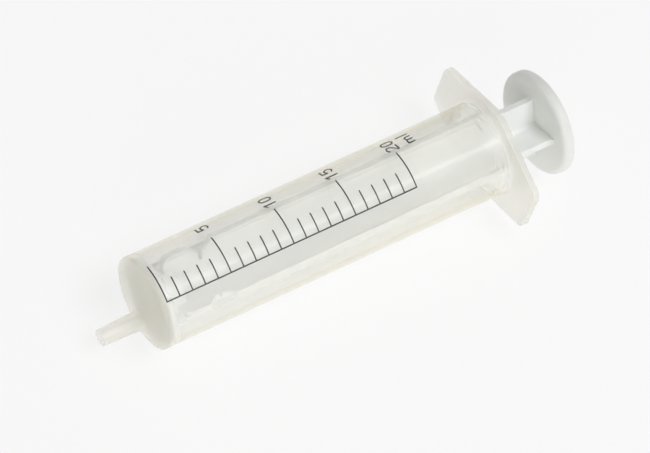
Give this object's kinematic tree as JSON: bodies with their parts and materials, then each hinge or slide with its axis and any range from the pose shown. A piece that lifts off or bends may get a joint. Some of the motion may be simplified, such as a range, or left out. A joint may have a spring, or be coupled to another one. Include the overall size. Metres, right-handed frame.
{
  "type": "luer slip syringe",
  "caption": "Two-piece plastic syringe with an off-centre slip tip, finger wings, a printed volume scale and a sliding plunger with a cross-shaped rod and a round thumb rest.",
  "frame": {"origin": "on the barrel's axis at the floor of the bore, where the scale reads zero", "axes": "+X along the barrel's axis from the tip towards the thumb rest, +Z towards the printed scale, finger wings along Y, tip set off towards -Z"},
  "size_m": [0.1155, 0.0378, 0.0276],
  "materials": {
    "barrel_plastic": "translucent polypropylene, fine satin surface",
    "plunger_plastic": "opaque white polyethylene, satin",
    "scale_ink": "matt black print"
  },
  "bodies": {
    "barrel": {"barrel": "barrel_plastic", "base_line": "scale_ink", "mark_0": "scale_ink", "mark_1": "scale_ink", "mark_2": "scale_ink", "mark_3": "scale_ink", "mark_4": "scale_ink", "mark_5": "scale_ink", "mark_6": "scale_ink", "mark_7": "scale_ink", "mark_8": "scale_ink", "mark_9": "scale_ink", "mark_10": "scale_ink", "mark_11": "scale_ink", "mark_12": "scale_ink", "mark_13": "scale_ink", "mark_14": "scale_ink", "mark_15": "scale_ink", "mark_16": "scale_ink", "mark_17": "scale_ink", "mark_18": "scale_ink", "mark_19": "scale_ink", "mark_20": "scale_ink", "numeral_5": "scale_ink", "numeral_10": "scale_ink", "numeral_15": "scale_ink", "numeral_20": "scale_ink", "unit_ml": "scale_ink"},
    "plunger": {"plunger": "plunger_plastic"}
  },
  "joints": [
    {"name": "plunger_slide", "type": "slide", "parent": "barrel", "child": "plunger", "axis": [1, 0, 0], "range_m": [0, 0.083]}
  ]
}
